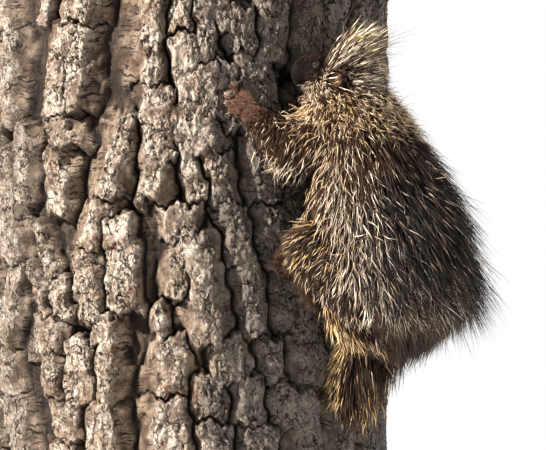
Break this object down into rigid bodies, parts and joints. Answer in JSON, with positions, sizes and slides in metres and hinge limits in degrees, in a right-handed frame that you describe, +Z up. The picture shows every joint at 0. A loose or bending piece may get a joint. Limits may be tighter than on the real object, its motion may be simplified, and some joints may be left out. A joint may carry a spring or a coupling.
{
  "type": "porcupine model on a cut trunk",
  "caption": "Life-size still porcupine climbing a cut length of furrowed tree trunk, held upright on a round display stand.",
  "frame": {"origin": "centre of the stand base's underside, on the trunk's axis", "axes": "+Z up along the trunk; -Y towards the side from which the picture looks; +X to that view's right, where the animal's back is"},
  "size_m": [0.9246, 0.8939, 0.88],
  "materials": {
    "coat_back": "long near-black guard hairs over pale-tipped quills",
    "coat_neck": "short yellow-tipped quills over brown",
    "coat_tail": "black bristles with gold quills at the sides",
    "coat_head": "short dark brown face fur, cream and yellow quills behind",
    "coat_leg": "red-brown to black hair with golden tips",
    "paw": "short orange-brown fur, pale curved claws",
    "ear": "thin tan skin with brown hair",
    "eye": "wet black-brown",
    "bark": "deeply furrowed grey-brown bark, pale sawn ends",
    "stand_paint": "satin black paint"
  },
  "bodies": {
    "root": {"head": "coat_head", "ear_left": "ear", "ear_right": "ear", "eye_left": "eye", "eye_right": "eye", "neck": "coat_neck", "torso": "coat_back", "tail": "coat_tail", "upper_arm_left": "coat_leg", "upper_arm_right": "coat_leg", "forearm_left": "coat_leg", "forearm_right": "coat_leg", "forepaw_left": "paw", "forepaw_right": "paw", "thigh_left": "coat_leg", "thigh_right": "coat_leg", "shank_left": "coat_leg", "shank_right": "coat_leg", "hindpaw_left": "paw", "hindpaw_right": "paw", "perch_trunk": "bark", "stand_base": "stand_paint", "stand_rod_left": "stand_paint", "stand_rod_right": "stand_paint"}
  },
  "joints": []
}
